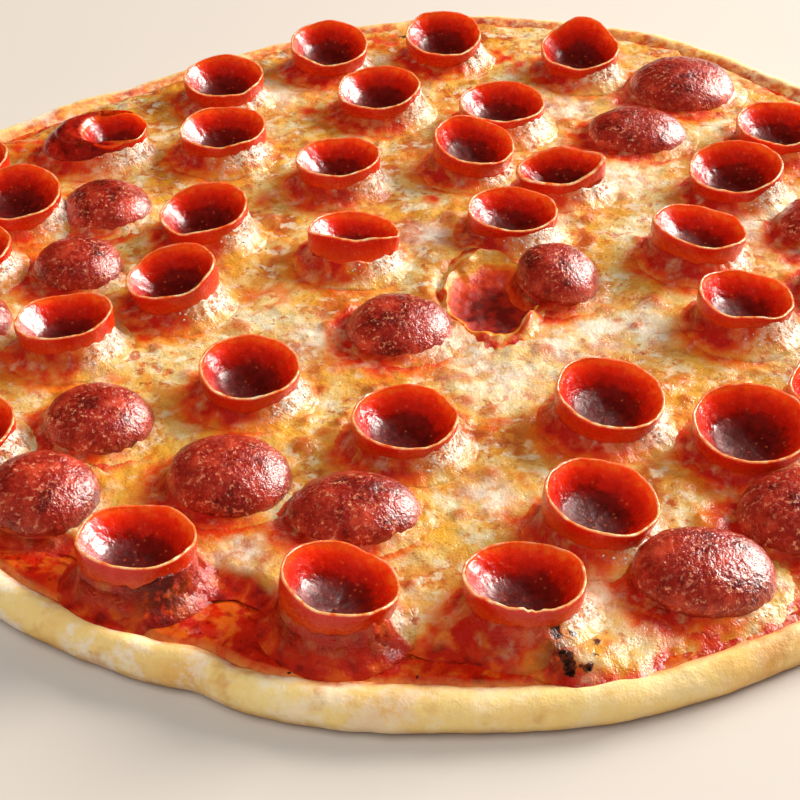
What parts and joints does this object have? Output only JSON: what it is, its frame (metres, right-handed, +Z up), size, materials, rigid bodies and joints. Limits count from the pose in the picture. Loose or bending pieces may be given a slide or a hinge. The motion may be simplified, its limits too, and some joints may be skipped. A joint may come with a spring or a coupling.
{
  "type": "pepperoni pizza",
  "caption": "Whole round thin-crust pizza lying flat, with raised rim, tomato sauce, melted browned cheese and slices of pepperoni that curled into cups or domes.",
  "frame": {"origin": "middle of the outline, on the flat underside of the crust", "axes": "+Z up; +X to the right in the picture, along the longest side; -Y towards the viewer"},
  "size_m": [0.3698, 0.3566, 0.025],
  "materials": {
    "crust": "matte baked dough, pale on top and golden at the edge, a little floury",
    "sauce": "glossy cooked tomato sauce",
    "cheese": "melted cheese with a satin, oily sheen, cream with golden and brown spots",
    "pepperoni_cup": "oily, glossy cured sausage, dark inside the cup with a crisp pale lip",
    "pepperoni_dome": "oily cured sausage with pale flecks of fat"
  },
  "bodies": {
    "root": {"crust": "crust", "sauce": "sauce", "cheese": "cheese", "pepperoni_cup_01": "pepperoni_cup", "pepperoni_cup_02": "pepperoni_cup", "pepperoni_cup_03": "pepperoni_cup", "pepperoni_cup_04": "pepperoni_cup", "pepperoni_cup_05": "pepperoni_cup", "pepperoni_cup_06": "pepperoni_cup", "pepperoni_cup_07": "pepperoni_cup", "pepperoni_cup_08": "pepperoni_cup", "pepperoni_cup_09": "pepperoni_cup", "pepperoni_cup_10": "pepperoni_cup", "pepperoni_cup_11": "pepperoni_cup", "pepperoni_cup_12": "pepperoni_cup", "pepperoni_cup_13": "pepperoni_cup", "pepperoni_cup_14": "pepperoni_cup", "pepperoni_cup_15": "pepperoni_cup", "pepperoni_cup_16": "pepperoni_cup", "pepperoni_cup_17": "pepperoni_cup", "pepperoni_cup_18": "pepperoni_cup", "pepperoni_cup_19": "pepperoni_cup", "pepperoni_cup_20": "pepperoni_cup", "pepperoni_cup_21": "pepperoni_cup", "pepperoni_cup_22": "pepperoni_cup", "pepperoni_cup_23": "pepperoni_cup", "pepperoni_cup_24": "pepperoni_cup", "pepperoni_cup_25": "pepperoni_cup", "pepperoni_cup_26": "pepperoni_cup", "pepperoni_cup_27": "pepperoni_cup", "pepperoni_cup_28": "pepperoni_cup", "pepperoni_cup_29": "pepperoni_cup", "pepperoni_cup_30": "pepperoni_cup", "pepperoni_cup_31": "pepperoni_cup", "pepperoni_cup_32": "pepperoni_cup", "pepperoni_cup_33": "pepperoni_cup", "pepperoni_cup_34": "pepperoni_cup", "pepperoni_cup_35": "pepperoni_cup", "pepperoni_cup_36": "pepperoni_cup", "pepperoni_cup_37": "pepperoni_cup", "pepperoni_folded_01": "pepperoni_cup", "pepperoni_folded_02": "pepperoni_cup", "pepperoni_dome_01": "pepperoni_dome", "pepperoni_dome_02": "pepperoni_dome", "pepperoni_dome_03": "pepperoni_dome", "pepperoni_dome_04": "pepperoni_dome", "pepperoni_dome_05": "pepperoni_dome", "pepperoni_dome_06": "pepperoni_dome", "pepperoni_dome_07": "pepperoni_dome", "pepperoni_dome_08": "pepperoni_dome", "pepperoni_dome_09": "pepperoni_dome", "pepperoni_dome_10": "pepperoni_dome", "pepperoni_dome_11": "pepperoni_dome", "pepperoni_dome_12": "pepperoni_dome", "pepperoni_dome_13": "pepperoni_dome", "pepperoni_dome_14": "pepperoni_dome", "pepperoni_dome_15": "pepperoni_dome", "pepperoni_dome_16": "pepperoni_dome", "pepperoni_dome_17": "pepperoni_dome"}
  },
  "joints": []
}
